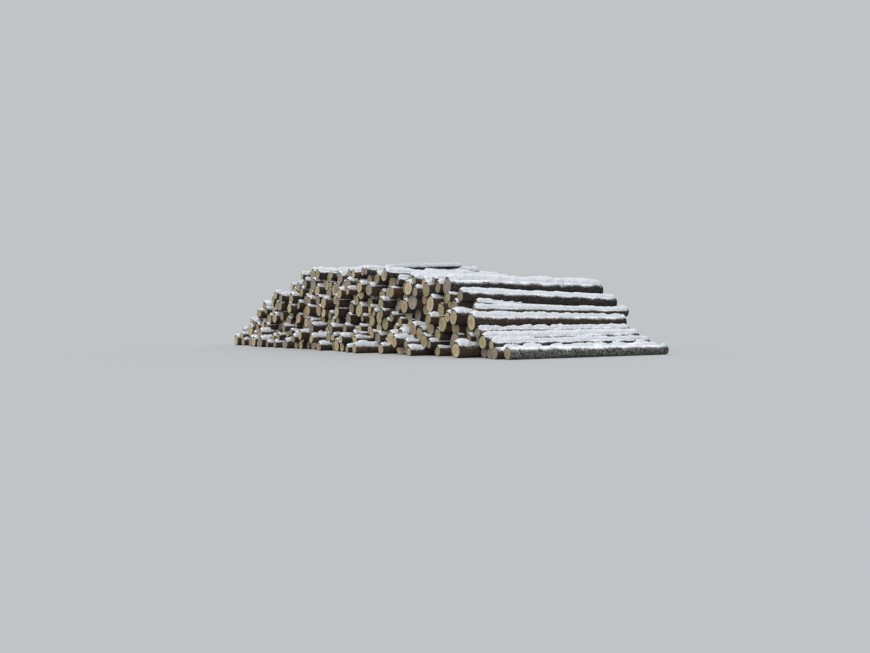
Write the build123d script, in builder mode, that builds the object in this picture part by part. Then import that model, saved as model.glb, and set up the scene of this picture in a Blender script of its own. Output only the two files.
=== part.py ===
from build123d import *
import os
from dataclasses import dataclass
from math import atan, cos, degrees, pi, radians, sin
from types import SimpleNamespace

import numpy as np

# A roadside deck of sawlogs, seen from its butt face. X runs along the deck
# towards its tall stepped end, Y runs along the logs away from the road, and Z
# is up. Lengths are in millimetres, angles in degrees.

# One log
LOG_LENGTH = 6000
LENGTH_SPREAD = 120
TAPER = 45
SIDES = 12
THIN_DIAMETER = 225
THICK_DIAMETER = 430

# The deck
FLOOR_START = 1150
FLOOR_END = -13900
OUTLINE = [(-14100, 600), (-13300, 1300), (-12200, 1830), (-11000, 2250), (-10200, 2520),
           (-9250, 3040), (-7000, 3020), (-4500, 2850), (-3300, 2660), (-2700, 2500), (-1640, 2400),
           (-1160, 2360), (-900, 2200), (-540, 2020), (-300, 1700), (0, 1450), (180, 1000),
           (450, 770), (880, 440), (1300, 440)]
FACE_SKEW = 0.16
FACE_STAGGER = 210
COURSES = 14
FAN_LEFT = -7
FAN_RIGHT = 5
YAW_SPREAD = 0.5

# The foot of the face, where the lowest logs were pulled out towards the road
TOE_START = -1900
TOE_END = -13900
TOE_HEIGHT = 600
TOE_REACH = 620

# The large ends of the tall half: x along the deck, height of the centre,
# diameter, and how far the end stands out of the face
MARKED_ENDS = [
    (1150, 180, 360, -60), (800, 170, 340, 60), (400, 560, 380, 0), (180, 820, 290, 0),
    (0, 1210, 430, 40), (-650, 1440, 390, 60), (-540, 1830, 340, 0), (-1160, 2090, 500, 60),
    (-1640, 2250, 350, 0), (-1600, 1560, 480, 90), (-1910, 1920, 440, 110), (-1160, 880, 480, 80),
    (-1370, 1180, 420, 30), (-1780, 1060, 410, 50), (-300, 430, 430, 420), (-2350, 750, 450, 90),
    (-2570, 1500, 470, 100), (-2810, 870, 390, 60), (-4280, 1330, 430, 110), (-4830, 1150, 390, 40),
    (-5550, 2180, 420, 60), (-5700, 1410, 430, 50), (-6000, 2380, 430, 120), (-4360, 2490, 380, 60),
    (-6700, 2600, 370, 0), (-7080, 1020, 380, 60), (-8090, 2160, 390, 30), (-9420, 1260, 400, 90),
    (-9880, 2180, 390, 60), (-10750, 1390, 390, 120), (-12320, 1790, 380, 40),
]
MARK_REACH = 260

# A short log thrown on top and a thin pole over it: diameter, and the place of
# each end as x along the deck and y as a share of the logs' length
POLES = [(340, (-5750, 0.4), (-6250, 0.95)), (150, (-4400, 0.03), (-6300, 0.82))]
POLE_TAPER = 0.8
POLE_DROP = 300

# Settling
CLEARANCE = 0.5
SETTLING_STEPS = [40, 15, 6, 2, 0.8, 0.3, 0.1]
SETTLING_TRIES = 12
LIFT = 0.2
LIFTS = 40
PLACE_STEP = 25
START_HEIGHT = 20
FLOOR_NEARNESS = 30
TOUCH_NEARNESS = 12
ATTEMPTS = 400
SEED = 38
rng = np.random.default_rng(SEED)
FLAT = cos(pi / SIDES)
SECTOR = 2 * pi / SIDES


@dataclass
class Log:
    front: np.ndarray
    rear: np.ndarray
    front_radius: float
    rear_radius: float
    roll: float
    course: int = 1


def spread(value):
    return rng.uniform(-value, value)


def uneven(value):
    return value * np.clip(rng.normal(), -2, 2.4)


def outline_height(x):
    return np.interp(x, [p[0] for p in OUTLINE], [p[1] for p in OUTLINE])


def fan_angle(x):
    share = (x - FLOOR_END) / (FLOOR_START - FLOOR_END)
    return FAN_LEFT + (FAN_RIGHT - FAN_LEFT) * share


def new_log(x, height, diameter, reach):
    # The thick end faces the road on about half of the logs
    change = TAPER / 2 if rng.random() < 0.5 else -TAPER / 2
    angle = radians(fan_angle(x) + spread(YAW_SPREAD))
    length = LOG_LENGTH + spread(LENGTH_SPREAD)
    front = np.array([x, FACE_SKEW * x - reach, height], dtype=float)
    rear = front + length * np.array([sin(angle), cos(angle), 0])
    front_radius = diameter / 2
    return Log(front, rear, front_radius, front_radius + change, rng.uniform(0, SECTOR))


def drop_height(x, radius, heap, end):
    # The height at which a log lowered straight down at x meets the heap
    x = np.atleast_1d(x)
    height = np.full(x.shape, radius)
    if heap:
        points = np.array([log.front if end == "front" else log.rear for log in heap])
        radii = np.array([log.front_radius if end == "front" else log.rear_radius for log in heap])
        reach = radii + radius
        side = x[:, None] - points[:, 0]
        rise = np.sqrt(np.maximum(reach ** 2 - side ** 2, 0)) + points[:, 2]
        rise[np.abs(side) >= reach] = 0
        height = np.maximum(height, rise.max(axis=1))
    return height


def find_neighbours(log, heap):
    # The logs within reach of a settling log, as arrays
    low = min(log.front[0], log.rear[0]) - 1.5 * THICK_DIAMETER
    high = max(log.front[0], log.rear[0]) + 1.5 * THICK_DIAMETER
    near = [other for other in heap if low < other.front[0] < high or low < other.rear[0] < high]
    if not near:
        return None
    front = np.array([other.front for other in near])
    axis = np.array([other.rear for other in near]) - front
    return SimpleNamespace(
        front=front,
        axis=axis,
        length2=(axis ** 2).sum(axis=1),
        front_radius=np.array([other.front_radius for other in near]),
        rear_radius=np.array([other.rear_radius for other in near]),
        roll=np.array([other.roll for other in near]),
    )


STATIONS = np.linspace(0, 1, 9)
FINE_STATIONS = np.linspace(0, 1, 45)
FACETS = np.array([-1, 0, 1])


def corner_reach(angle, roll, radius):
    # How far a log's section reaches in a direction: the corner nearest to it
    turn = (angle - roll + SECTOR / 2) % SECTOR - SECTOR / 2
    return radius * np.cos(turn)


def tightest(log, near, stations=STATIONS):
    # The smallest gap to a neighbour, its outward direction and its place along the log
    axis = log.rear - log.front
    length2 = axis @ axis
    start = (near.front - log.front) @ axis / length2
    end = (near.front + near.axis - log.front) @ axis / length2
    start, end = np.clip(start, 0, 1), np.clip(end, 0, 1)
    place = start[:, None] + stations * (end - start)[:, None]
    # One more station where the two axes pass closest
    dot = near.axis @ axis
    between = log.front - near.front
    lean = dot * (between * near.axis).sum(axis=1) - near.length2 * (between @ axis)
    closest = lean / np.maximum(length2 * near.length2 - dot ** 2, 1)
    closest = np.clip(closest, start, end)
    place = np.column_stack([place, closest])
    point = log.front + place[..., None] * axis
    along = ((point - near.front[:, None]) * near.axis[:, None]).sum(axis=2) / near.length2[:, None]
    along = np.clip(along, 0, 1)
    apart = point - near.front[:, None] - along[..., None] * near.axis[:, None]
    side = np.sign(apart[..., 0]) * np.hypot(apart[..., 0], apart[..., 1])
    rise = apart[..., 2]
    mine = log.front_radius + (log.rear_radius - log.front_radius) * place
    growth = (near.rear_radius - near.front_radius)[:, None]
    theirs = near.front_radius[:, None] + growth * along
    aim = np.arctan2(rise, side)
    roll = near.roll[:, None]
    their_facet = roll + SECTOR * (np.round((aim - roll) / SECTOR - 0.5) + 0.5)
    my_facet = log.roll + SECTOR * (np.round((aim + pi - log.roll) / SECTOR - 0.5) + 0.5) - pi
    their_way = their_facet[..., None] + SECTOR * FACETS
    my_way = my_facet[..., None] + SECTOR * FACETS
    theirs, mine = theirs[..., None], mine[..., None]
    a = theirs * FLAT + corner_reach(their_way + pi, log.roll, mine)
    b = mine * FLAT + corner_reach(my_way, roll[..., None], theirs)
    way = np.concatenate([their_way, my_way], axis=2)
    gap = side[..., None] * np.cos(way) + rise[..., None] * np.sin(way)
    gap -= np.concatenate([a, b], axis=2)
    best = gap.argmax(axis=2)
    gap = np.take_along_axis(gap, best[..., None], 2)[..., 0]
    way = np.take_along_axis(way, best[..., None], 2)[..., 0]
    # A neighbour that runs askew is wider in this section
    askew = np.sqrt(length2 * near.length2) / dot - 1
    gap -= theirs[..., 0] * askew[:, None] * np.cos(way) ** 2
    where = np.unravel_index(gap.argmin(), gap.shape)
    return gap[where], way[where], place[where]


def floor_height(log, radius):
    # The height of an end's centre when the section's lowest corner is on the floor
    return corner_reach(-pi / 2, log.roll, radius)


def push_out(log, near, stations=STATIONS):
    # Moves the log's ends until it clears the floor and every neighbour
    for _ in range(10):
        log.front[2] = max(log.front[2], floor_height(log, log.front_radius))
        log.rear[2] = max(log.rear[2], floor_height(log, log.rear_radius))
        if not near:
            return
        gap, way, place = tightest(log, near, stations)
        if gap >= CLEARANCE - 0.02:
            return
        push = (CLEARANCE - gap) * np.array([cos(way), 0, sin(way)])
        share = place ** 2 + (1 - place) ** 2
        log.front += push * (1 - place) / share
        log.rear += push * place / share


def settle(log, heap):
    # The log is lowered a little at a time and pushed out of its neighbours,
    # so it slides down until it lies between them
    for step in SETTLING_STEPS:
        near = find_neighbours(log, heap)
        for _ in range(SETTLING_TRIES):
            height = log.front[2] + log.rear[2]
            log.front[2] -= step
            log.rear[2] -= step
            push_out(log, near)
            if height - log.front[2] - log.rear[2] < 0.1 * step:
                break
    near = find_neighbours(log, heap)
    for _ in range(LIFTS):
        if not near or tightest(log, near, FINE_STATIONS)[0] > CLEARANCE - 0.1:
            return True
        log.front[2] += LIFT
        log.rear[2] += LIFT
        push_out(log, near, FINE_STATIONS)
    return False


def stand_on_flat(log):
    # A bottom log lies on one of its flats
    log.roll = -pi / 2 + SECTOR / 2
    return log


def find_course(log, heap):
    if min(log.front[2] - log.front_radius, log.rear[2] - log.rear_radius) < FLOOR_NEARNESS:
        return 1
    below = [other.course for other in heap
             if np.hypot(*(other.front - log.front)[[0, 2]])
             < other.front_radius + log.front_radius + TOUCH_NEARNESS and other.front[2] < log.front[2]]
    return min(1 + max(below, default=1), COURSES)


def pick_place(heap, radius):
    # The lowest hollow of the face that a log of this radius fits in, under the outline
    x = np.arange(FLOOR_START, FLOOR_END, -PLACE_STEP, dtype=float)
    height = drop_height(x, radius, heap, "front")
    fits = height + radius <= outline_height(x)
    hollow = np.ones(x.shape, bool)
    hollow[1:] &= height[1:] <= height[:-1]
    hollow[:-1] &= height[:-1] <= height[1:]
    picks = np.flatnonzero(fits & hollow)
    if not len(picks):
        return None
    best = picks[height[picks].argmin()]
    return x[best], height[best]


def stack_deck():
    heap = []
    marks = list(MARKED_ENDS)
    for _ in range(ATTEMPTS):
        diameter = rng.uniform(THIN_DIAMETER, THICK_DIAMETER)
        reach = uneven(FACE_STAGGER)
        spot = pick_place(heap, diameter / 2)
        if spot is None:
            spot = pick_place(heap, THIN_DIAMETER / 2)
            diameter = THIN_DIAMETER
        if spot is None:
            break
        near_marks = [m for m in marks if np.hypot(m[0] - spot[0], m[1] - spot[1]) < MARK_REACH]
        if near_marks:
            mark = min(near_marks, key=lambda m: np.hypot(m[0] - spot[0], m[1] - spot[1]))
            marks.remove(mark)
            diameter, reach = mark[2], mark[3]
        radius = diameter / 2
        x = spot[0]
        on_floor = spot[1] < THICK_DIAMETER / 2 + 1 and drop_height(x, radius, heap, "front")[0] <= radius
        if TOE_END < x < TOE_START and spot[1] < TOE_HEIGHT:
            reach = (1 - 0.5 * spot[1] / TOE_HEIGHT) * TOE_REACH + uneven(FACE_STAGGER)
        log = new_log(x, 0, diameter, reach)
        if on_floor:
            stand_on_flat(log)
        log.front[2] = drop_height(x, radius, heap, "front")[0] + START_HEIGHT
        log.rear[2] = drop_height(log.rear[0], log.rear_radius, heap, "rear")[0] + START_HEIGHT
        if settle(log, heap):
            log.course = find_course(log, heap)
            heap.append(log)
    return heap


def throw_poles(heap):
    poles = []
    for diameter, (front_x, front_y), (rear_x, rear_y) in POLES:
        radius = diameter / 2
        front_y = front_y * LOG_LENGTH + FACE_SKEW * front_x
        rear_y = rear_y * LOG_LENGTH + FACE_SKEW * rear_x
        front = np.array([front_x, front_y, outline_height(front_x) + POLE_DROP])
        rear = np.array([rear_x, rear_y, outline_height(rear_x) + POLE_DROP])
        pole = Log(front, rear, radius, radius * POLE_TAPER, 0.0)
        settle(pole, heap + poles)
        poles.append(pole)
    return poles


def log_solid(log, shift):
    # A straight round log, thinner or thicker at its rear by the slope of its sides
    axis = log.rear - log.front
    length = np.linalg.norm(axis)
    slope = degrees(atan((log.front_radius - log.rear_radius) * FLAT / length))
    front_end = Plane(
        origin=tuple(log.front + shift),
        x_dir=(axis[1], -axis[0], 0),
        z_dir=tuple(axis / length),
    )
    with BuildPart() as piece:
        with BuildSketch(front_end):
            RegularPolygon(log.front_radius, SIDES, rotation=-degrees(log.roll))
        extrude(amount=length)
        sides = piece.faces().sort_by(SortBy.AREA)[2:]
        draft(sides, neutral_plane=front_end, angle=slope)
    return piece.part.solid()


deck = stack_deck()
poles = throw_poles(deck)
everything = deck + poles
print(len(deck), "logs and", len(poles), "poles")

# The origin is the middle of the deck's footprint
corners = np.array([end + side * np.array([radius, 0, 0])
                    for log in everything
                    for end, radius in ((log.front, log.front_radius), (log.rear, log.rear_radius))
                    for side in (-1, 1)])
middle = (corners.min(axis=0) + corners.max(axis=0)) / 2
shift = np.array([-middle[0], -middle[1], 0])

os.makedirs("parts", exist_ok=True)


def export_logs(logs, name):
    # The logs don't touch, so they are kept side by side, not fused
    layer = Compound(label=name, children=[log_solid(log, shift) for log in logs])
    export_step(layer, f"parts/{name}.step")


for course in range(1, COURSES + 1):
    export_logs([log for log in deck if log.course == course], f"course_{course:02d}_logs")
export_logs(poles, "top_poles")
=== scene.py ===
import math

import bpy
import numpy as np
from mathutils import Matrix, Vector


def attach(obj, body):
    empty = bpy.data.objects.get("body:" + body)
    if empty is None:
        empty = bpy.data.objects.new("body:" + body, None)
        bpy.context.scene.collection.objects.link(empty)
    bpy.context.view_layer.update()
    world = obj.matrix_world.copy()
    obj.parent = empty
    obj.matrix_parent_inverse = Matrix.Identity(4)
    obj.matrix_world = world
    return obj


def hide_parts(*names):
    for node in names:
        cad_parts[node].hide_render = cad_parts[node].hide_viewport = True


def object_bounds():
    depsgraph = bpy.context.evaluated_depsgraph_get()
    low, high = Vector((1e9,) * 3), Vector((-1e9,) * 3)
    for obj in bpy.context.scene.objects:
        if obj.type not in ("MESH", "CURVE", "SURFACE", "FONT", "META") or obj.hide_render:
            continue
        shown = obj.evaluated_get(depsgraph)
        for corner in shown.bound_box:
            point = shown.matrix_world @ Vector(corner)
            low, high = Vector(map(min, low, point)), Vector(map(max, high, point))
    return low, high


def linear(hexColour):
    # sRGB hex to the linear values that Blender works in
    parts = [int(hexColour[i:i + 2], 16) / 255 for i in (1, 3, 5)]
    parts = [c / 12.92 if c <= 0.04045 else ((c + 0.055) / 1.055) ** 2.4 for c in parts]
    return (*parts, 1.0)


def addNode(tree, kind, *values, output=0, **settings):
    # Values fill the inputs in their order, or by name or number from one dictionary
    node = tree.nodes.new(kind)
    for name, value in settings.items():
        setattr(node, name, value)
    byName = len(values) == 1 and isinstance(values[0], dict)
    inputs = values[0] if byName else dict(enumerate(values))
    for key, value in inputs.items():
        if isinstance(value, bpy.types.NodeSocket):
            tree.links.new(value, node.inputs[key])
        else:
            node.inputs[key].default_value = value
    return node.outputs[output] if len(node.outputs) else node


def fillRamp(colourRamp, stops):
    elements = colourRamp.elements
    while len(elements) < len(stops):
        elements.new(0.5)
    for element, (place, colour) in zip(elements, stops):
        element.position = place
        element.color = linear(colour)


def newMaterial(name, roughness, ior, specular=0.25):
    material = bpy.data.materials.new(name)
    material.use_nodes = True
    tree = material.node_tree
    shader = tree.nodes["Principled BSDF"]
    shader.inputs["Roughness"].default_value = roughness
    shader.inputs["IOR"].default_value = ior
    shader.inputs["Specular IOR Level"].default_value = specular
    return material, tree, shader


# Bark of spruce and pine, greyed by the weather and, under the open sky, lightened by painted sky
# light: matt, with dark furrows between paler plates.
# Real plates are about 20 mm wide; these are wider, so that they show. Sizes in metres.
# An edge is where a pattern's noise starts and where it is full; a tone multiplies brightness.
barkSettings = {
    "roughness": 0.9,
    "ior": 1.5,
    "plateWidth": 0.033,
    "plateLength": 0.14,
    "furrowDepth": 0.015,
    "furrowStrength": 0.8,
    "fleck": 0.075,
    "fleckEdge": (0.36, 0.64),
    "fleckTone": (0.55, 1.4),
    "logTone": (0.40, 0.73),
    "broadPatch": 0.45,
    "lichenPatch": 0.06,
    "lichenEdge": (0.42, 0.56),
    # Painted sky light: these grey and lighten the plates of logs open to the sky, partly as
    # weathering
    "weatherEdge": (0.44, 0.64),
    "weatherMost": 0.2,
    "snowGrit": 0.022,
    "dustPatches": 0.9,
    "dustGrit": 1.5,
    "dustEdge": (1.70, 1.92),
    "dark": "#1A1918",
    "mid": "#34322F",
    "light": "#4E4B47",
    "reddish": "#503B28",
    "grey": "#83847F",
    "snow": "#F1F5FB",
    "plateTones": ((0.34, "dark"), (0.50, "mid"), (0.68, "light")),
}


def makeBark():
    roughness, ior = barkSettings["roughness"], barkSettings["ior"]
    material, tree, shader = newMaterial("weathered_softwood_bark", roughness, ior)
    ofLog = {}
    for name in ("redness", "greyness", "openSky", "tone"):
        ofLog[name] = addNode(tree, "ShaderNodeAttribute", attribute_name=name, output="Fac")
    place = addNode(tree, "ShaderNodeTexCoord", output="Object")
    # Plates are long along the logs, which lie along Y
    stretch = (1, barkSettings["plateWidth"] / barkSettings["plateLength"], 1)
    plates = addNode(tree, "ShaderNodeVectorMath", place, stretch, operation="MULTIPLY")
    perMetre = 1 / barkSettings["plateWidth"]
    plateScale = {"Vector": plates, "Scale": perMetre, "Detail": 6.0, "Roughness": 0.7}
    fine = addNode(tree, "ShaderNodeTexNoise", plateScale)
    broadScale = {"Vector": place, "Scale": 1 / barkSettings["broadPatch"], "Detail": 4.0}
    broad = addNode(tree, "ShaderNodeTexNoise", broadScale)
    colour = addNode(tree, "ShaderNodeValToRGB", fine)
    stops = [(at, barkSettings[name]) for at, name in barkSettings["plateTones"]]
    fillRamp(colour.node.color_ramp, stops)
    # Some logs are redder
    redness = addNode(tree, "ShaderNodeMath", ofLog["redness"], broad, operation="MULTIPLY")
    reddish = {0: redness, 6: colour, 7: linear(barkSettings["reddish"])}
    colour = addNode(tree, "ShaderNodeMix", reddish, data_type="RGBA", output=2)
    # Lichen greys one log; under the open sky the plates turn greyer and lighter, partly weathering
    # and partly painted sky light
    lichenScale = {"Vector": place, "Scale": 1 / barkSettings["lichenPatch"], "Detail": 4.0}
    lichen = addNode(tree, "ShaderNodeTexNoise", lichenScale)
    lichen = addNode(tree, "ShaderNodeMapRange", lichen, *barkSettings["lichenEdge"], 0.0, 1.0)
    lichen = addNode(tree, "ShaderNodeMath", ofLog["greyness"], lichen, operation="MULTIPLY")
    # Painted sky light, partly weathering: the more open the log is to the sky, the lighter and
    # greyer its plates
    toMost = (*barkSettings["weatherEdge"], 0.0, barkSettings["weatherMost"])
    weatherAndSkyLight = addNode(tree, "ShaderNodeMapRange", fine, *toMost)
    weatherAndSkyLight = addNode(tree, "ShaderNodeMath", ofLog["openSky"], weatherAndSkyLight, operation="MULTIPLY")
    greyness = addNode(tree, "ShaderNodeMath", lichen, weatherAndSkyLight, operation="MAXIMUM")
    greyed = {0: greyness, 6: colour, 7: linear(barkSettings["grey"])}
    colour = addNode(tree, "ShaderNodeMix", greyed, data_type="RGBA", output=2)
    # Flecks and the log's own tone
    perMetre = 1 / barkSettings["fleck"]
    fleckScale = {"Vector": place, "Scale": perMetre, "Detail": 3.0, "Roughness": 0.6}
    flecks = addNode(tree, "ShaderNodeTexNoise", fleckScale)
    toTone = (*barkSettings["fleckEdge"], *barkSettings["fleckTone"])
    flecks = addNode(tree, "ShaderNodeMapRange", flecks, *toTone)
    tone = addNode(tree, "ShaderNodeMapRange", ofLog["tone"], 0.0, 1.0, *barkSettings["logTone"])
    tone = addNode(tree, "ShaderNodeMath", tone, flecks, operation="MULTIPLY")
    colour = addNode(tree, "ShaderNodeHueSaturation", {"Value": tone, "Color": colour})
    # A dusting of snow that thins out down the side
    normal = addNode(tree, "ShaderNodeNewGeometry", output="Normal")
    facingUp = addNode(tree, "ShaderNodeSeparateXYZ", normal, output="Z")
    gritScale = {"Vector": place, "Scale": 1 / barkSettings["snowGrit"], "Detail": 3.0}
    grit = addNode(tree, "ShaderNodeTexNoise", gritScale)
    patches, grains = barkSettings["dustPatches"], barkSettings["dustGrit"]
    dust = addNode(tree, "ShaderNodeMath", broad, patches, facingUp, operation="MULTIPLY_ADD")
    dust = addNode(tree, "ShaderNodeMath", grit, grains, dust, operation="MULTIPLY_ADD")
    dust = addNode(tree, "ShaderNodeMapRange", dust, *barkSettings["dustEdge"], 0.0, 1.0)
    dust = addNode(tree, "ShaderNodeMath", dust, ofLog["openSky"], operation="MULTIPLY")
    dusted = {0: dust, 6: colour, 7: linear(barkSettings["snow"])}
    colour = addNode(tree, "ShaderNodeMix", dusted, data_type="RGBA", output=2)
    tree.links.new(colour, shader.inputs["Base Color"])
    strength, depth = barkSettings["furrowStrength"], barkSettings["furrowDepth"]
    furrows = {"Height": fine, "Strength": strength, "Distance": depth}
    bump = addNode(tree, "ShaderNodeBump", furrows)
    tree.links.new(bump, shader.inputs["Normal"])
    return material


# Chainsawn softwood ends, some weeks old: matt and pale, a darker heart, a rim of bark.
# Growth rings are 2 to 3 mm apart; these are wider, so that they show. Sizes in metres.
woodSettings = {
    "roughness": 0.8,
    "ior": 1.5,
    "ringWidth": 0.009,
    "ringWobble": 0.03,
    "ringTone": 0.05,
    "stain": 0.06,
    "stainDepth": 0.005,
    "stainStrength": 0.4,
    "stainEdge": (0.36, 0.64),
    "stainTone": (0.97, 0.6),
    "logTone": (0.86, 1.12),
    "heartWobble": 0.11,
    "heartWaves": 0.25,
    "heartEdge": (0.75, 0.45),
    "heartMost": 0.5,
    "rimWobble": 0.033,
    "rimWaves": 0.07,
    "rimEdge": (0.955, 0.975),
    "pale": "#CCC0A2",
    "tan": "#BAAB89",
    "green": "#A3A17F",
    "dull": "#A39576",
    "grey": "#938E82",
    "pink": "#A39084",
    "orange": "#B0926F",
    "heart": "#A98A60",
    "rim": "#352D27",
    "kinds": (
        (0.0, "pale"), (0.3, "tan"), (0.42, "green"), (0.54, "dull"),
        (0.66, "grey"), (0.8, "grey"), (0.92, "pink"), (1.0, "orange"),
    ),
}


def makeSawnWood():
    roughness, ior = woodSettings["roughness"], woodSettings["ior"]
    material, tree, shader = newMaterial("sawn_softwood_end_grain", roughness, ior)
    place = addNode(tree, "ShaderNodeTexCoord", output="Object")
    share = addNode(tree, "ShaderNodeAttribute", attribute_name="endShare", output="Fac")
    section = addNode(tree, "ShaderNodeAttribute", attribute_name="section", output="Vector")
    kind = addNode(tree, "ShaderNodeAttribute", attribute_name="woodKind", output="Fac")
    tone = addNode(tree, "ShaderNodeAttribute", attribute_name="tone", output="Fac")
    colour = addNode(tree, "ShaderNodeValToRGB", kind)
    stops = [(at, woodSettings[name]) for at, name in woodSettings["kinds"]]
    fillRamp(colour.node.color_ramp, stops)
    # The heart is darker, with a wavy edge
    wobbleScale = {"Vector": place, "Scale": 1 / woodSettings["heartWobble"], "Detail": 2.0}
    wobble = addNode(tree, "ShaderNodeTexNoise", wobbleScale)
    waves = woodSettings["heartWaves"]
    heart = addNode(tree, "ShaderNodeMath", wobble, waves, share, operation="MULTIPLY_ADD")
    toMost = (*woodSettings["heartEdge"], 0.0, woodSettings["heartMost"])
    heart = addNode(tree, "ShaderNodeMapRange", heart, *toMost)
    hearted = {0: heart, 6: colour, 7: linear(woodSettings["heart"])}
    colour = addNode(tree, "ShaderNodeMix", hearted, data_type="RGBA", output=2)
    # Growth rings, stains and the log's own tone
    reach = addNode(tree, "ShaderNodeVectorMath", section, operation="LENGTH", output="Value")
    waves = woodSettings["ringWobble"]
    reach = addNode(tree, "ShaderNodeMath", wobble, waves, reach, operation="MULTIPLY_ADD")
    perMetre = 2 * math.pi / woodSettings["ringWidth"]
    turns = addNode(tree, "ShaderNodeMath", reach, perMetre, operation="MULTIPLY")
    rings = addNode(tree, "ShaderNodeMath", turns, operation="SINE")
    stainScale = {"Vector": place, "Scale": 1 / woodSettings["stain"], "Detail": 5.0}
    stain = addNode(tree, "ShaderNodeTexNoise", stainScale)
    toTone = (*woodSettings["stainEdge"], *woodSettings["stainTone"])
    value = addNode(tree, "ShaderNodeMapRange", stain, *toTone)
    ringTone = woodSettings["ringTone"]
    value = addNode(tree, "ShaderNodeMath", rings, ringTone, value, operation="MULTIPLY_ADD")
    tone = addNode(tree, "ShaderNodeMapRange", tone, 0.0, 1.0, *woodSettings["logTone"])
    value = addNode(tree, "ShaderNodeMath", value, tone, operation="MULTIPLY")
    colour = addNode(tree, "ShaderNodeHueSaturation", {"Value": value, "Color": colour})
    # The bark shows as a thin dark rim
    rimScale = {"Vector": place, "Scale": 1 / woodSettings["rimWobble"], "Detail": 2.0}
    rim = addNode(tree, "ShaderNodeTexNoise", rimScale)
    waves = woodSettings["rimWaves"]
    rim = addNode(tree, "ShaderNodeMath", rim, waves, share, operation="MULTIPLY_ADD")
    rim = addNode(tree, "ShaderNodeMapRange", rim, *woodSettings["rimEdge"], 0.0, 1.0)
    rimmed = {0: rim, 6: colour, 7: linear(woodSettings["rim"])}
    colour = addNode(tree, "ShaderNodeMix", rimmed, data_type="RGBA", output=2)
    tree.links.new(colour, shader.inputs["Base Color"])
    strength, depth = woodSettings["stainStrength"], woodSettings["stainDepth"]
    sawMarks = {"Height": stain, "Strength": strength, "Distance": depth}
    bump = addNode(tree, "ShaderNodeBump", sawMarks)
    tree.links.new(bump, shader.inputs["Normal"])
    return material


# Settled snow: very matt, a bluish white with dimples and crumbs of bark in it.
# Its grit is finer than a millimetre; this is coarser, so that it shows. Sizes in metres.
snowLook = {
    "roughness": 0.75,
    "ior": 1.31,
    "dimples": 0.06,
    "dimpleDepth": 0.045,
    # Painted shade: the white darkens in the dimples' hollows and brightens a little on their
    # crests
    "dimpleEdge": (0.35, 0.65),
    "dimpleTone": (0.84, 1.01),
    "grit": 0.012,
    "gritShare": 0.25,
    "crumbs": 0.035,
    "crumbEdge": (0.60, 0.66),
    "crumbMost": 0.8,
    "fewerOnTop": 0.14,
    "white": "#F1F5FB",
    "crumb": "#5C554D",
}


def makeSnow():
    material, tree, shader = newMaterial("settled_snow", snowLook["roughness"], snowLook["ior"])
    place = addNode(tree, "ShaderNodeTexCoord", output="Object")
    normal = addNode(tree, "ShaderNodeNewGeometry", output="Normal")
    facingUp = addNode(tree, "ShaderNodeSeparateXYZ", normal, output="Z")
    perMetre = 1 / snowLook["dimples"]
    dimpleScale = {"Vector": place, "Scale": perMetre, "Detail": 6.0, "Roughness": 0.65}
    dimples = addNode(tree, "ShaderNodeTexNoise", dimpleScale)
    gritScale = {"Vector": place, "Scale": 1 / snowLook["grit"], "Detail": 2.0}
    grit = addNode(tree, "ShaderNodeTexNoise", gritScale)
    # Painted shade: the same noise that sinks the dimples in the bump darkens the white there
    toTone = (*snowLook["dimpleEdge"], *snowLook["dimpleTone"])
    value = addNode(tree, "ShaderNodeMapRange", dimples, *toTone)
    white = {"Value": value, "Color": linear(snowLook["white"])}
    colour = addNode(tree, "ShaderNodeHueSaturation", white)
    # Crumbs of bark lie in it, more of them low on its sides
    perMetre = 1 / snowLook["crumbs"]
    crumbScale = {"Vector": place, "Scale": perMetre, "Detail": 3.0, "Roughness": 0.6}
    crumbs = addNode(tree, "ShaderNodeTexNoise", crumbScale)
    fewer = -snowLook["fewerOnTop"]
    crumbs = addNode(tree, "ShaderNodeMath", facingUp, fewer, crumbs, operation="MULTIPLY_ADD")
    toMost = (*snowLook["crumbEdge"], 0.0, snowLook["crumbMost"])
    crumbs = addNode(tree, "ShaderNodeMapRange", crumbs, *toMost)
    crumbled = {0: crumbs, 6: colour, 7: linear(snowLook["crumb"])}
    colour = addNode(tree, "ShaderNodeMix", crumbled, data_type="RGBA", output=2)
    tree.links.new(colour, shader.inputs["Base Color"])
    gritShare = snowLook["gritShare"]
    height = addNode(tree, "ShaderNodeMath", grit, gritShare, dimples, operation="MULTIPLY_ADD")
    dimpled = {"Height": height, "Strength": 1.0, "Distance": snowLook["dimpleDepth"]}
    bump = addNode(tree, "ShaderNodeBump", dimpled)
    tree.links.new(bump, shader.inputs["Normal"])
    return material


# One sawlog's mesh and its departures from a plain taper, in metres and shares
logSettings = {
    "around": 24,
    "along": 12,
    "endRings": 2,
    "rounding": 0.985,  # from the corners of the twelve-sided solid to a round log
    "barkRelief": 0.009,
    "reliefWidth": 0.11,
    "reliefLength": 0.4,
    "roundness": 0.045,
    "shapeScale": 0.9,
    "shapeTwist": 0.6,
    "flareLength": 0.45,
    "flare": 0.10,
    "thickButt": 0.19,  # only butts of a larger radius swell
    "crook": 0.012,
    "cutTilt": 0.09,
    "cutSharpness": 24.0,  # higher keeps the slant of a cut nearer to the end
    "reddishShare": 0.25,
    "redness": (0.25, 1.3),  # of the usual and of the reddish logs
    "shelteredRed": 0.9,
    "seed": 4,
}


def meshPoints(node):
    points = np.empty(len(node.data.vertices) * 3, np.float32)
    node.data.vertices.foreach_get("co", points)
    return points.reshape(-1, 3).astype(float)


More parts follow.
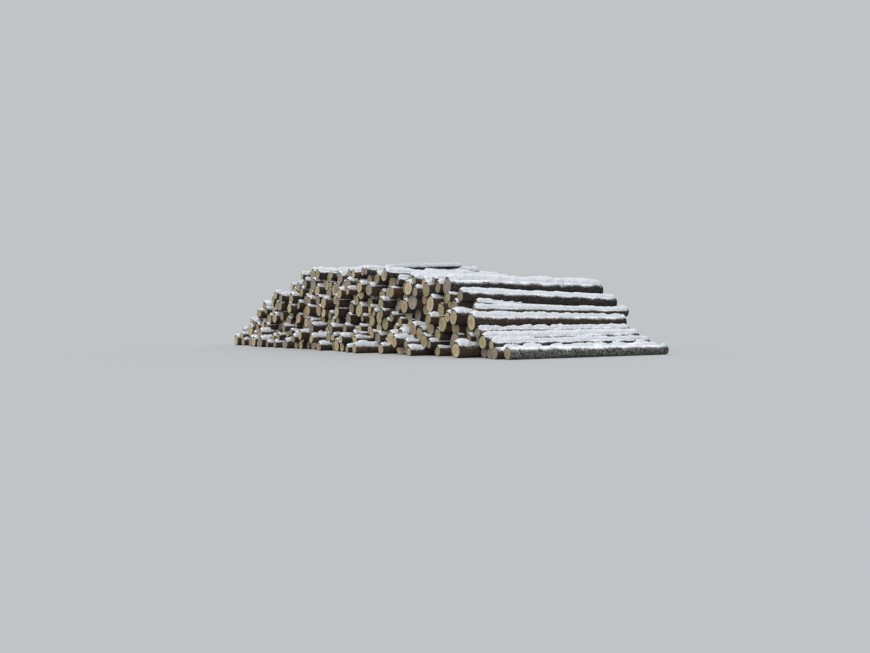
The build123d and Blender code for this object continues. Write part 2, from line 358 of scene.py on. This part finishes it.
def looseParts(mesh, index, count):
    # Groups of points that faces join
    parent = np.arange(count)

    def root(i):
        while parent[i] != i:
            parent[i] = parent[parent[i]]
            i = parent[i]
        return i

    for polygon in mesh.polygons:
        first, *others = [root(index[v]) for v in polygon.vertices]
        for other in others:
            parent[root(other)] = root(first)
    groups = {}
    for i in range(count):
        groups.setdefault(root(i), []).append(i)
    return groups.values()


def readLogs(node):
    # Each log of a CAD node as the centres and radii of its two ends
    points, index = np.unique(np.round(meshPoints(node), 5), axis=0, return_inverse=True)
    logs = []
    for members in looseParts(node.data, index.ravel(), len(points)):
        corners = points[members]
        atFront = corners[:, 1] < corners[:, 1].mean()
        log = {}
        for end, own in (("front", corners[atFront]), ("rear", corners[~atFront])):
            log[end] = own.mean(axis=0)
            radius = np.linalg.norm(own - log[end], axis=1).mean()
            log[end + "Radius"] = logSettings["rounding"] * radius
        logs.append(log)
    return sorted(logs, key=lambda log: (round(log["front"][0], 3), round(log["front"][2], 3)))


def logAxes(log):
    axis = log["rear"] - log["front"]
    level = np.array([axis[1], -axis[0], 0.0])
    level /= np.linalg.norm(level)
    up = np.cross(level, axis)
    return axis, level, up / np.linalg.norm(up)


def logPoints(log, along, angle, lift=0.0):
    # Points on a log's side: along is a share of its length, angle 0 is its top
    axis, level, up = logAxes(log)
    along, angle = np.broadcast_arrays(along, angle)
    radius = log["frontRadius"] + (log["rearRadius"] - log["frontRadius"]) * along + lift
    out = np.sin(angle)[..., None] * level + np.cos(angle)[..., None] * up
    return log["front"] + along[..., None] * axis + radius[..., None] * out


# What each log's point carries into the node tree
logFields = {
    "front": "FLOAT_VECTOR",
    "axis": "FLOAT_VECTOR",
    "level": "FLOAT_VECTOR",
    "up": "FLOAT_VECTOR",
    "cutTilt": "FLOAT_VECTOR",
    "unit": "FLOAT_VECTOR",
    "crook": "FLOAT",
    "frontRadius": "FLOAT",
    "rearRadius": "FLOAT",
    "butt": "FLOAT",
    "seed": "FLOAT",
    "isEnd": "BOOLEAN",
}


def unitLogs(tree, given):
    # A unit cylinder on every log's point, its ends marked and its own places kept
    shape = {
        "Vertices": given["Around"],
        "Side Segments": given["Along"],
        "Fill Segments": given["End Rings"],
        "Radius": 1.0,
        "Depth": 1.0,
    }
    mesh = addNode(tree, "GeometryNodeMeshCylinder", shape, fill_type="TRIANGLE_FAN")
    top, bottom = mesh.node.outputs["Top"], mesh.node.outputs["Bottom"]
    isEnd = addNode(tree, "FunctionNodeBooleanMath", top, bottom, operation="OR")
    place = addNode(tree, "GeometryNodeInputPosition")
    kept = (("isEnd", isEnd, "BOOLEAN", "FACE"), ("unit", place, "FLOAT_VECTOR", "POINT"))
    for name, value, kind, domain in kept:
        stored = {"Geometry": mesh, "Name": name, "Value": value}
        mesh = addNode(
            tree, "GeometryNodeStoreNamedAttribute", stored, data_type=kind, domain=domain
        )
    onPoints = {"Points": given["Logs"], "Instance": mesh}
    stack = addNode(tree, "GeometryNodeInstanceOnPoints", onPoints)
    return addNode(tree, "GeometryNodeRealizeInstances", {"Geometry": stack})


def logSpine(tree, fields, given, parts, along):
    # The middle of the log, slightly bowed, and its saw cuts not quite square
    reach = {0: fields["axis"], "Scale": along}
    spine = addNode(tree, "ShaderNodeVectorMath", reach, operation="SCALE")
    spine = addNode(tree, "ShaderNodeVectorMath", fields["front"], spine, operation="ADD")
    bow = addNode(tree, "ShaderNodeMath", along, math.pi, operation="MULTIPLY")
    bow = addNode(tree, "ShaderNodeMath", bow, operation="SINE")
    bow = addNode(tree, "ShaderNodeMath", bow, fields["crook"], operation="MULTIPLY")
    sideways = {0: fields["level"], "Scale": bow}
    bow = addNode(tree, "ShaderNodeVectorMath", sideways, operation="SCALE")
    spine = addNode(tree, "ShaderNodeVectorMath", spine, bow, operation="ADD")
    unit, tilt = fields["unit"], fields["cutTilt"]
    cut = addNode(tree, "ShaderNodeVectorMath", unit, tilt, operation="MULTIPLY")
    slant = addNode(
        tree, "ShaderNodeVectorMath", cut, (1, 1, 0), operation="DOT_PRODUCT", output="Value"
    )
    nearEnd = addNode(tree, "ShaderNodeMath", parts["Z"], 2.0, operation="MULTIPLY")
    nearEnd = addNode(tree, "ShaderNodeMath", nearEnd, operation="ABSOLUTE")
    nearEnd = addNode(tree, "ShaderNodeMath", nearEnd, given["Cut Sharpness"], operation="POWER")
    slant = addNode(tree, "ShaderNodeMath", slant, nearEnd, operation="MULTIPLY")
    away = addNode(tree, "ShaderNodeVectorMath", fields["axis"], operation="NORMALIZE")
    slant = addNode(tree, "ShaderNodeVectorMath", {0: away, "Scale": slant}, operation="SCALE")
    return addNode(tree, "ShaderNodeVectorMath", spine, slant, operation="ADD")


def logRadius(tree, fields, given, parts, along):
    # Tapered, swelling at the butt, and out of round in the same way all along
    ends = {0: along, 2: fields["frontRadius"], 3: fields["rearRadius"]}
    radius = addNode(tree, "ShaderNodeMix", ends, data_type="FLOAT")
    axis = fields["axis"]
    length = addNode(tree, "ShaderNodeVectorMath", axis, operation="LENGTH", output="Value")
    fade = addNode(tree, "ShaderNodeMath", along, length, operation="MULTIPLY")
    fade = addNode(tree, "ShaderNodeMath", fade, given["Flare Length"], operation="DIVIDE")
    fade = addNode(tree, "ShaderNodeMath", fade, -1.0, operation="MULTIPLY")
    fade = addNode(tree, "ShaderNodeMath", math.e, fade, operation="POWER")
    swell = addNode(tree, "ShaderNodeMath", fields["butt"], given["Flare"], operation="MULTIPLY")
    swell = addNode(tree, "ShaderNodeMath", fade, swell, 1.0, operation="MULTIPLY_ADD")
    radius = addNode(tree, "ShaderNodeMath", radius, swell, operation="MULTIPLY")
    twist, seed = logSettings["shapeTwist"], fields["seed"]
    turn = addNode(tree, "ShaderNodeMath", along, twist, seed, operation="MULTIPLY_ADD")
    place = addNode(tree, "ShaderNodeCombineXYZ", parts["X"], parts["Y"], turn)
    shapeScale = {"Vector": place, "Scale": logSettings["shapeScale"], "Detail": 1.0}
    shape = addNode(tree, "ShaderNodeTexNoise", shapeScale)
    shape = addNode(tree, "ShaderNodeMath", shape, 0.5, operation="SUBTRACT")
    amount = addNode(tree, "ShaderNodeMath", given["Roundness"], 2.0, operation="MULTIPLY")
    shape = addNode(tree, "ShaderNodeMath", shape, amount, 1.0, operation="MULTIPLY_ADD")
    return addNode(tree, "ShaderNodeMath", radius, shape, operation="MULTIPLY")


def barkRelief(tree, given, body, outward):
    # Real bumps in the mesh, longer along the log than across
    stretch = (1, logSettings["reliefWidth"] / logSettings["reliefLength"], 1)
    place = addNode(tree, "ShaderNodeVectorMath", body, stretch, operation="MULTIPLY")
    reliefScale = {"Vector": place, "Scale": 1 / logSettings["reliefWidth"], "Detail": 3.0}
    relief = addNode(tree, "ShaderNodeTexNoise", reliefScale)
    relief = addNode(tree, "ShaderNodeMath", relief, 0.5, operation="SUBTRACT")
    amount = addNode(tree, "ShaderNodeMath", given["Bark Relief"], 2.0, operation="MULTIPLY")
    relief = addNode(tree, "ShaderNodeMath", relief, amount, operation="MULTIPLY")
    relief = addNode(tree, "ShaderNodeVectorMath", {0: outward, "Scale": relief}, operation="SCALE")
    return addNode(tree, "ShaderNodeVectorMath", body, relief, operation="ADD")


def makeLogTree():
    tree = bpy.data.node_groups.new("sawlogs", "GeometryNodeTree")
    tree.interface.new_socket("Logs", in_out="INPUT", socket_type="NodeSocketGeometry")
    for name in ("Around", "Along", "End Rings"):
        tree.interface.new_socket(name, in_out="INPUT", socket_type="NodeSocketInt")
    for name in ("Bark Relief", "Roundness", "Flare", "Flare Length", "Cut Sharpness"):
        tree.interface.new_socket(name, in_out="INPUT", socket_type="NodeSocketFloat")
    tree.interface.new_socket("Geometry", in_out="OUTPUT", socket_type="NodeSocketGeometry")
    given = addNode(tree, "NodeGroupInput").node.outputs
    fields = {}
    for name, kind in logFields.items():
        named = {"Name": name}
        fields[name] = addNode(tree, "GeometryNodeInputNamedAttribute", named, data_type=kind)
    whole = unitLogs(tree, given)
    parts = addNode(tree, "ShaderNodeSeparateXYZ", fields["unit"]).node.outputs
    along = addNode(tree, "ShaderNodeMath", parts["Z"], 0.5, operation="ADD")
    radius = logRadius(tree, fields, given, parts, along)
    toLeft = addNode(tree, "ShaderNodeMath", parts["X"], -1.0, operation="MULTIPLY")
    sideways = {0: fields["level"], "Scale": toLeft}
    sideways = addNode(tree, "ShaderNodeVectorMath", sideways, operation="SCALE")
    upwards = {0: fields["up"], "Scale": parts["Y"]}
    upwards = addNode(tree, "ShaderNodeVectorMath", upwards, operation="SCALE")
    outward = addNode(tree, "ShaderNodeVectorMath", sideways, upwards, operation="ADD")
    body = addNode(tree, "ShaderNodeVectorMath", {0: outward, "Scale": radius}, operation="SCALE")
    spine = logSpine(tree, fields, given, parts, along)
    body = addNode(tree, "ShaderNodeVectorMath", spine, body, operation="ADD")
    body = barkRelief(tree, given, body, outward)
    whole = addNode(tree, "GeometryNodeSetPosition", {"Geometry": whole, "Position": body})
    # What the sawn ends' pattern reads
    section = addNode(tree, "ShaderNodeCombineXYZ", parts["X"], parts["Y"])
    share = addNode(tree, "ShaderNodeVectorMath", section, operation="LENGTH", output="Value")
    section = {0: section, "Scale": radius}
    section = addNode(tree, "ShaderNodeVectorMath", section, operation="SCALE")
    for name, value, kind in (("endShare", share, "FLOAT"), ("section", section, "FLOAT_VECTOR")):
        stored = {"Geometry": whole, "Name": name, "Value": value}
        whole = addNode(
            tree, "GeometryNodeStoreNamedAttribute", stored, data_type=kind, domain="POINT"
        )
    isSide = addNode(tree, "FunctionNodeBooleanMath", fields["isEnd"], operation="NOT")
    whole = addNode(tree, "GeometryNodeSetShadeSmooth", {"Geometry": whole, "Shade Smooth": isSide})
    whole = addNode(tree, "GeometryNodeSetMaterial", {"Geometry": whole, "Material": bark})
    sawn = {"Geometry": whole, "Selection": fields["isEnd"], "Material": sawnWood}
    whole = addNode(tree, "GeometryNodeSetMaterial", sawn)
    addNode(tree, "NodeGroupOutput", whole)
    return tree


def setInputs(modifier, values):
    for item in modifier.node_group.interface.items_tree:
        if item.item_type == "SOCKET" and item.in_out == "INPUT" and item.name in values:
            modifier[item.identifier] = values[item.name]


def logVectors(logs, fronts):
    columns = {"front": [], "axis": [], "level": [], "up": []}
    for log in logs:
        for key, value in zip(columns, (log["front"], *logAxes(log))):
            columns[key].append(value)
    tilts = logRandom.uniform(-1, 1, (len(logs), 3)) * logSettings["cutTilt"] * fronts[:, None]
    return {**columns, "cutTilt": tilts}


def logNumbers(logs, fronts, rears):
    count = len(logs)
    usual, reddish = logSettings["redness"]
    skies = np.array([log["openSky"] for log in logs])
    # Bark that the weather doesn't reach stays redder
    sheltered = logSettings["shelteredRed"] * (1 - skies)
    return {
        "crook": logRandom.uniform(-1, 1, count) * logSettings["crook"],
        "greyness": [float(log is lichenLog) for log in logs],
        "openSky": skies,
        "frontRadius": fronts,
        "rearRadius": rears,
        "butt": (fronts > rears) & (fronts > logSettings["thickButt"]),
        "seed": logRandom.uniform(0, 100, count),
        "tone": logRandom.uniform(0, 1, count),
        "redness": sheltered
        + np.where(logRandom.random(count) < logSettings["reddishShare"], reddish, usual),
        "woodKind": logRandom.uniform(0, 1, count),
    }


def addObject(name, data):
    thing = bpy.data.objects.new(name, data)
    bpy.context.scene.collection.objects.link(thing)
    return thing


def addLogs(name, logs):
    # One point for each log carries its ends and its own numbers into the node tree
    mesh = bpy.data.meshes.new(name + "_points")
    mesh.from_pydata([tuple(log["front"]) for log in logs], [], [])
    fronts = np.array([log["frontRadius"] for log in logs])
    rears = np.array([log["rearRadius"] for log in logs])
    for key, values in logVectors(logs, fronts).items():
        column = mesh.attributes.new(key, "FLOAT_VECTOR", "POINT")
        column.data.foreach_set("vector", np.array(values, np.float32).ravel())
    for key, values in logNumbers(logs, fronts, rears).items():
        column = mesh.attributes.new(key, "FLOAT", "POINT")
        column.data.foreach_set("value", np.array(values, np.float32))
    piece = addObject(name, mesh)
    modifier = piece.modifiers.new("sawlogs", "NODES")
    modifier.node_group = logTree
    setInputs(modifier, {
        "Around": logSettings["around"],
        "Along": logSettings["along"],
        "End Rings": logSettings["endRings"],
        "Bark Relief": logSettings["barkRelief"],
        "Roundness": logSettings["roundness"],
        "Flare": logSettings["flare"],
        "Flare Length": logSettings["flareLength"],
        "Cut Sharpness": logSettings["cutSharpness"],
    })
    graph = bpy.context.evaluated_depsgraph_get()
    made = bpy.data.meshes.new_from_object(piece.evaluated_get(graph))
    made.name = name
    piece.modifiers.clear()
    piece.data = made
    return piece


# Snow on whatever shows upwards, in metres and in degrees from a log's top.
# The bumps' sizes are in cells of the sheet, each with its strength.
snowSettings = {
    "depth": 0.095,
    "typicalRadius": 0.165,  # a log of this radius carries the depth above
    "thinnest": 1.0,  # and thinner ones no less
    "sheltered": 0.9,
    "footCover": 0.4,  # for the outermost logs on the ground
    "footLogs": 3,
    "least": 0.015,  # thinner snow isn't drawn
    "hidden": 0.02,  # how deep the sheet's rim sinks into the log
    "gridStep": 0.03,
    "pointsPerCell": 1.5,
    "coverTolerance": 0.035,
    "skySpan": 50.0,
    "skyGain": 4.0,
    "openEdge": (1.7, 0.5),  # how sharply snow stops under another log
    "sweep": 78.0,
    "steepest": 54.0,
    "fullDepth": 34.0,
    "bareSides": 18.0,  # so much higher its edge lies under the open sky
    "edgeAtFoot": 0.4,
    "outwardShare": 0.35,
    "across": 25,
    "stations": 120,
    "frontStep": 0.035,
    "frontStations": 18,
    "endStart": 0.012,
    "endRounding": 0.09,
    "lumps": {(7.5, 6.0): 0.20, (2.9, 2.6): 0.16, (1.3, 1.3): 0.14},
    "raggedness": {(11.0, 7.0): 6.0, (3.9, 3.6): 8.0, (1.3, 1.3): 7.0},
    "bareSpots": (6.0, 4.0),
    "spotStrength": 1.2,
    "spotSharpness": 8,
    "drift": (0.2, 1.9),  # snow blown onto the front ends, from least to most
    "driftLength": (0.3, 0.7),
    "patchCells": 9,
    "seed": 9,
}


def gridCells(points):
    cells = ((points[..., :2] - gridLow) / snowSettings["gridStep"]).astype(int)
    return np.clip(cells, 0, np.array(snowGrid.shape) - 1)


def fillGrid():
    # The deck seen from above: the highest point in each square of a grid
    angles = np.radians(np.linspace(-90, 90, 33))
    for log in allLogs:
        length = np.linalg.norm(log["rear"] - log["front"])
        count = int(snowSettings["pointsPerCell"] * length / snowSettings["gridStep"])
        along = np.linspace(0, 1, count)
        points = logPoints(log, along[:, None], angles[None, :]).reshape(-1, 3)
        cells = gridCells(points)
        np.maximum.at(snowGrid, (cells[:, 0], cells[:, 1]), points[:, 2])


def openTop(log, along, angle):
    # 1 where nothing lies over the log's side, 0 where another log does
    surface = logPoints(log, along[:, None], angle[None, :])
    cells = gridCells(surface)
    cover = snowGrid[cells[..., 0], cells[..., 1]]
    return (surface[..., 2] > cover - snowSettings["coverTolerance"]).astype(float)


def skyShare(log):
    # How much of a log's top shows upwards, which decides how grey from the weather and how
    # lightened by painted sky light its bark is
    span = snowSettings["skySpan"]
    angles = np.radians(np.linspace(-span, span, 5))
    share = openTop(log, np.linspace(0, 1, 60), angles).mean()
    return min(1.0, snowSettings["skyGain"] * share)


def smoothed(values, passes):
    for _ in range(passes):
        padded = np.pad(values, 1, mode="edge")
        sides = padded[:-2, 1:-1] + padded[2:, 1:-1] + padded[1:-1, :-2] + padded[1:-1, 2:]
        values = (sides + 2 * values) / 6
    return values


def softBumps(shape, spacing):
    # Random values on a coarse grid, smoothly read between
    size = [int(shape[k] / spacing[k]) + 3 for k in (0, 1)]
    coarse = snowRandom.uniform(-1, 1, size)
    rows, columns = np.arange(shape[0]) / spacing[0], np.arange(shape[1]) / spacing[1]
    i, j = rows.astype(int), columns.astype(int)
    u, v = rows - i, columns - j
    u, v = (u * u * (3 - 2 * u))[:, None], (v * v * (3 - 2 * v))[None, :]
    near = coarse[np.ix_(i, j)] * (1 - u) + coarse[np.ix_(i + 1, j)] * u
    far = coarse[np.ix_(i, j + 1)] * (1 - u) + coarse[np.ix_(i + 1, j + 1)] * u
    return near * (1 - v) + far * v


def addedBumps(shape, sizes):
    return sum(strength * softBumps(shape, spacing) for spacing, strength in sizes.items())


def withoutSpecks(shown):
    # Patches of only a few cells go
    rows, columns = shown.shape
    padded = np.pad(shown.astype(int), 2)
    around = sum(padded[i:i + rows, j:j + columns] for i in range(5) for j in range(5))
    return shown & (around >= snowSettings["patchCells"])


def snowStations(length):
    # Close together near the front end, wider apart behind
    fine = snowSettings["frontStep"] * np.arange(snowSettings["frontStations"]) / length
    count = snowSettings["stations"] - snowSettings["frontStations"] + 1
    return np.concatenate([fine, np.linspace(fine[-1], 1, count)[1:]])


def snowfall(log, along, angle, length):
    # Where snow lies: open to the sky, or on the first stretch that wind reaches
    gain, loss = snowSettings["openEdge"]
    bare = smoothed(openTop(log, along, angle), 2) * gain - loss
    driftLength = snowRandom.uniform(*snowSettings["driftLength"])
    drift = snowRandom.uniform(*snowSettings["drift"]) * np.exp(-along * length / driftLength)
    return np.clip(np.maximum(bare, drift[:, None] * np.cos(angle)[None, :]), 0, 1)


def snowDepth(log, along, angle, length):
    fallen = snowfall(log, along, angle, length)
    # It ends on the steep side in a ragged, rounded edge, higher up on logs in the open
    steepest, atFoot = snowSettings["steepest"], snowSettings["edgeAtFoot"]
    edge = steepest * (atFoot + (1 - atFoot) * log["cover"])
    edge = edge - snowSettings["bareSides"] * log["openSky"]
    edge = edge + addedBumps(fallen.shape, snowSettings["raggedness"])
    steep = (edge - np.degrees(np.abs(angle))) / (steepest - snowSettings["fullDepth"])
    steep = np.sqrt(np.clip(steep, 0, 1))
    toEnd = np.minimum(along, 1 - along) * length
    rounded = (toEnd + snowSettings["endStart"]) / snowSettings["endRounding"]
    rounded = np.sqrt(np.clip(rounded, 0, 1))[:, None]
    lumpy = 1 + addedBumps(fallen.shape, snowSettings["lumps"])
    # Deeper on thick logs, thinner where it is sheltered, and with bare spots at the foot
    sheltered = snowSettings["sheltered"]
    depth = snowSettings["depth"] * (sheltered + (1 - sheltered) * log["openSky"])
    depth *= max(snowSettings["thinnest"], log["frontRadius"] / snowSettings["typicalRadius"])
    spots = snowSettings["spotStrength"] * softBumps(fallen.shape, snowSettings["bareSpots"])
    patchy = np.clip(log["cover"] + spots, log["cover"] ** snowSettings["spotSharpness"], 1)
    return depth * fallen * patchy * steep * rounded * lumpy


def snowOnLog(log):
    # A sheet round a log's top, raised where snow lies and sunk into the log elsewhere
    length = np.linalg.norm(log["rear"] - log["front"])
    along = snowStations(length)
    sweep = snowSettings["sweep"]
    angle = np.radians(np.linspace(-sweep, sweep, snowSettings["across"]))
    depth = snowDepth(log, along, angle, length)
    shown = withoutSpecks(depth > snowSettings["least"])
    surface = logPoints(log, along[:, None], angle[None, :])
    outward = logPoints(log, along[:, None], angle[None, :], 1.0) - surface
    # Some of the depth goes straight out from the log and the rest straight up
    share = snowSettings["outwardShare"]
    out = np.where(shown, share * depth, -snowSettings["hidden"])
    points = surface + out[..., None] * outward
    points[..., 2] += np.where(shown, (1 - share) * depth, 0)
    return points, shown


def addSnow(name, logs):
    corners, faces, start = [], [], 0
    for log in logs:
        points, shown = snowOnLog(log)
        number = start + np.arange(shown.size).reshape(shown.shape)
        used = shown[:-1, :-1] | shown[1:, :-1] | shown[:-1, 1:] | shown[1:, 1:]
        corner = (number[:-1, :-1], number[:-1, 1:], number[1:, 1:], number[1:, :-1])
        quads = np.stack(corner, axis=-1)
        corners.append(points.reshape(-1, 3))
        faces.append(quads[used])
        start += shown.size
    points, faces = np.concatenate(corners), np.concatenate(faces)
    used, faces = np.unique(faces, return_inverse=True)
    mesh = bpy.data.meshes.new(name)
    mesh.from_pydata(points[used].tolist(), [], faces.reshape(-1, 4).tolist())
    mesh.polygons.foreach_set("use_smooth", [True] * len(mesh.polygons))
    mesh.materials.append(snow)
    return addObject(name, mesh)


# The photograph's camera, placed from the near front corner of the deck's tall end:
# lengths in metres, angles in degrees, focal length in pixels
cameraSettings = {
    "corner": (6.550, -1.783),
    "cornerBack": 18.6,
    "cornerRight": 1.145,
    "azimuth": 57.0,
    "height": 1.06,
    "pitch": -0.48,
    "focalPixels": 650.0,
    "imageWidth": 870,
    "sensor": 36.0,
    "farthest": 400,
}


def addCamera():
    azimuth = math.radians(cameraSettings["azimuth"])
    pitch = math.radians(cameraSettings["pitch"])
    toRight = Vector((math.cos(azimuth), math.sin(azimuth), 0))
    ahead = Vector((-math.sin(azimuth), math.cos(azimuth), 0))
    camera = addObject("camera", bpy.data.cameras.new("camera"))
    corner = Vector((*cameraSettings["corner"], 0))
    camera.location = corner - ahead * cameraSettings["cornerBack"]
    camera.location -= toRight * cameraSettings["cornerRight"]
    camera.location.z = cameraSettings["height"]
    look = ahead * math.cos(pitch) + Vector((0, 0, math.sin(pitch)))
    camera.rotation_euler = look.to_track_quat("-Z", "Y").to_euler()
    sensor = cameraSettings["sensor"]
    camera.data.sensor_width = sensor
    camera.data.lens = cameraSettings["focalPixels"] * sensor / cameraSettings["imageWidth"]
    camera.data.clip_end = cameraSettings["farthest"]
    bpy.context.scene.camera = camera
    print("camera at", [round(v, 2) for v in camera.location])


# The backdrop is as bright as the lit floor, so that no horizon shows
stageSettings = {
    "floorSize": 400,
    "floor": "#BABDBF",
    "backdrop": "#C0C4C6",
    "sky": "#F7F8F9",
    "skyStrength": 0.81,
    "sun": 1.6,
    "sunWidth": 60,
    "sunTurn": (50, 0, 22),
}


def addFloor():
    bpy.ops.mesh.primitive_plane_add(size=stageSettings["floorSize"])
    floor = bpy.context.object
    floor.name = "floor"
    # Without gloss it has the same tone from every side
    material, _, shader = newMaterial("matt_painted_floor", 1.0, 1.5, specular=0.0)
    shader.inputs["Base Color"].default_value = linear(stageSettings["floor"])
    floor.data.materials.append(material)


def addLight():
    world = bpy.data.worlds.new("studio")
    bpy.context.scene.world = world
    world.use_nodes = True
    tree = world.node_tree
    sky = tree.nodes["Background"]
    sky.inputs["Color"].default_value = linear(stageSettings["sky"])
    sky.inputs["Strength"].default_value = stageSettings["skyStrength"]
    # The camera, gloss and glass see the plain backdrop instead of the sky
    backdrop = addNode(tree, "ShaderNodeBackground", {"Color": linear(stageSettings["backdrop"])})
    path = addNode(tree, "ShaderNodeLightPath").node.outputs
    seen = path["Is Camera Ray"]
    for kind in ("Is Glossy Ray", "Is Transmission Ray"):
        seen = addNode(tree, "ShaderNodeMath", seen, path[kind], operation="MAXIMUM")
    mixed = addNode(tree, "ShaderNodeMixShader", seen, sky.outputs[0], backdrop)
    tree.links.new(mixed, tree.nodes["World Output"].inputs["Surface"])
    sun = addObject("sun", bpy.data.lights.new("sun", "SUN"))
    sun.data.energy = stageSettings["sun"]
    sun.data.angle = math.radians(stageSettings["sunWidth"])
    sun.rotation_euler = [math.radians(turn) for turn in stageSettings["sunTurn"]]


def countTriangles(mesh):
    return sum(len(polygon.vertices) - 2 for polygon in mesh.polygons)


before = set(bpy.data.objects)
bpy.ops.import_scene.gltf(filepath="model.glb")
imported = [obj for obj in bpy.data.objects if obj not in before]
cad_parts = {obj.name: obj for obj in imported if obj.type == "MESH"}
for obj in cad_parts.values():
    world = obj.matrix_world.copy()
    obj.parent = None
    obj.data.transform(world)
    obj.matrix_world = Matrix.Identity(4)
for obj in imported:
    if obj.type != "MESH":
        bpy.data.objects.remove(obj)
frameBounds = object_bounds()
deck = {name: readLogs(node) for name, node in sorted(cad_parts.items())}
allLogs = [log for logs in deck.values() for log in logs]
print("logs read:", len(allLogs))

bark, sawnWood, snow = makeBark(), makeSawnWood(), makeSnow()
print("materials made")

snowRandom = np.random.default_rng(snowSettings["seed"])
logRandom = np.random.default_rng(logSettings["seed"])
gridLow = np.array([frameBounds[0].x, frameBounds[0].y])
gridSize = (np.array([frameBounds[1].x, frameBounds[1].y]) - gridLow) / snowSettings["gridStep"]
snowGrid = np.zeros((int(gridSize[0]) + 2, int(gridSize[1]) + 2))
fillGrid()
for log in allLogs:
    log["openSky"] = skyShare(log)
    log["cover"] = 1.0
# The outermost logs on the ground keep little snow, and the last has lichen on its bark
outermost = sorted(deck["course_01_logs"], key=lambda log: -log["front"][0])
lichenLog = outermost[0]
for log in outermost[:snowSettings["footLogs"]]:
    log["cover"] = snowSettings["footCover"]
print("snow grid", snowGrid.shape)

logTree = makeLogTree()
total = 0
for nodeName, logs in deck.items():
    piece = addLogs(nodeName.replace("_logs", "_sawlogs").replace("top_poles", "top_stems"), logs)
    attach(piece, "root")
    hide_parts(nodeName)
    cover = addSnow("snow_on_" + nodeName.replace("_logs", ""), logs)
    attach(cover, "root")
    counts = [countTriangles(thing.data) for thing in (piece, cover)]
    total += sum(counts)
    print(piece.name, len(logs), "logs,", counts[0], "triangles, snow", counts[1])
print("triangles in all:", total)

addCamera()
addFloor()
addLight()
bpy.context.scene.view_settings.view_transform = "Standard"
print("stage and light made")
